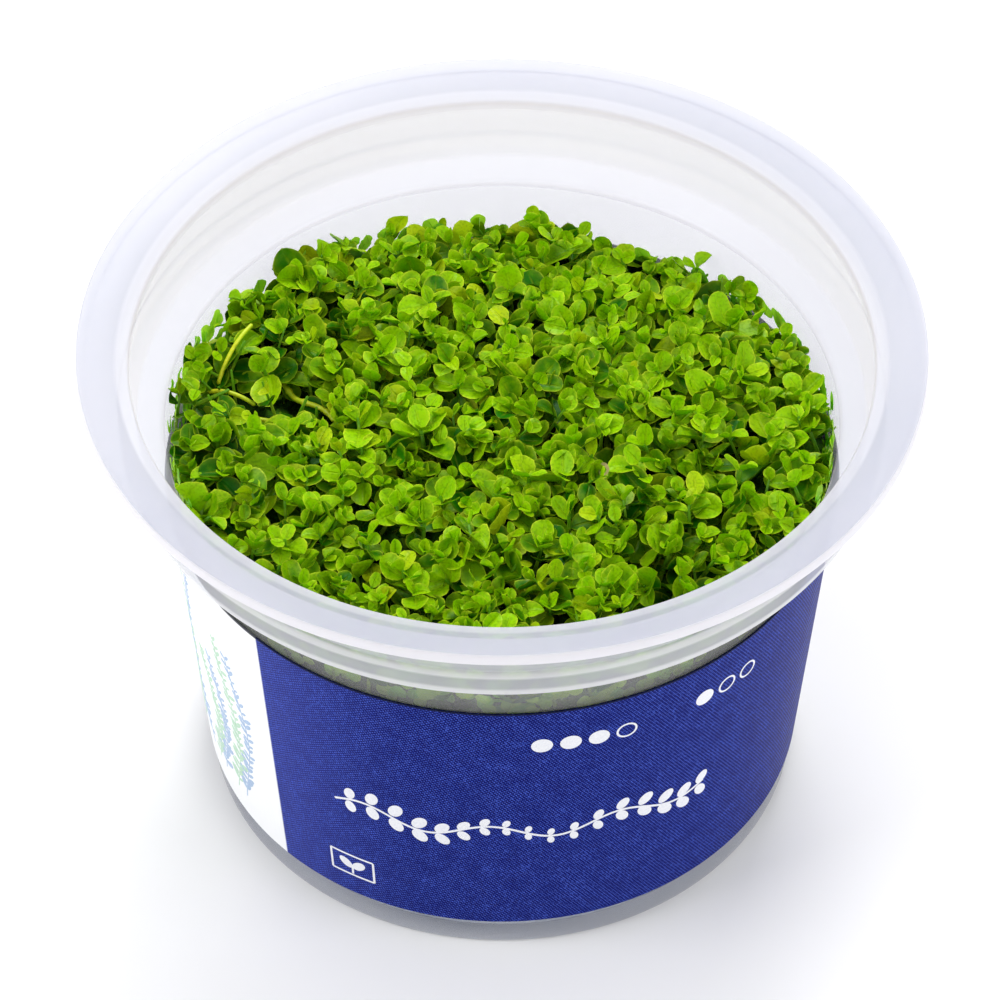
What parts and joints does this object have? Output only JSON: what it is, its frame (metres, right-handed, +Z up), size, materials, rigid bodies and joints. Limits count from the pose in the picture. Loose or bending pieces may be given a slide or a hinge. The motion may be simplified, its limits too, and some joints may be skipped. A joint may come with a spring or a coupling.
{
  "type": "monte carlo carpet plant in a culture cup",
  "caption": "Mat of small round-leaved monte carlo carpet plants grown in a translucent culture cup with a wrap-round label and a layer of nutrient gel.",
  "frame": {"origin": "centre of the cup's foot on the surface it stands on", "axes": "+Z up along the cup's axis, -Y towards the front of the label, +X to the right seen from the front"},
  "size_m": [0.1, 0.1, 0.0675],
  "materials": {
    "milky_plastic": "translucent milky moulded polypropylene, soft gloss",
    "printed_label": "satin printed film label, dark blue with a white panel",
    "culture_gel": "clear to pale set gel, glossy",
    "leaf_mass": "living stems and leaves, fresh green",
    "leaf_green": "living leaf, bright green, soft sheen",
    "runner_green": "living stem, yellow-green"
  },
  "bodies": {
    "root": {"carpet_mat": "leaf_mass", "cup": "milky_plastic", "label": "printed_label", "nutrient_gel": "culture_gel", "runner_01": "runner_green", "runner_02": "runner_green", "shoot_01": "leaf_green", "shoot_02": "leaf_green", "shoot_03": "leaf_green", "shoot_04": "leaf_green", "shoot_05": "leaf_green", "shoot_06": "leaf_green", "shoot_07": "leaf_green", "shoot_08": "leaf_green", "shoot_09": "leaf_green", "shoot_10": "leaf_green", "shoot_11": "leaf_green", "shoot_12": "leaf_green", "shoot_13": "leaf_green", "shoot_14": "leaf_green", "shoot_15": "leaf_green", "shoot_16": "leaf_green", "shoot_17": "leaf_green", "shoot_18": "leaf_green", "shoot_19": "leaf_green", "shoot_20": "leaf_green", "shoot_21": "leaf_green", "shoot_22": "leaf_green", "shoot_23": "leaf_green", "shoot_24": "leaf_green", "shoot_25": "leaf_green", "shoot_26": "leaf_green", "shoot_27": "leaf_green", "shoot_28": "leaf_green", "shoot_29": "leaf_green", "shoot_30": "leaf_green", "shoot_31": "leaf_green", "shoot_32": "leaf_green", "shoot_33": "leaf_green", "shoot_34": "leaf_green", "shoot_35": "leaf_green", "shoot_36": "leaf_green", "shoot_37": "leaf_green", "shoot_38": "leaf_green", "shoot_39": "leaf_green"}
  },
  "joints": []
}
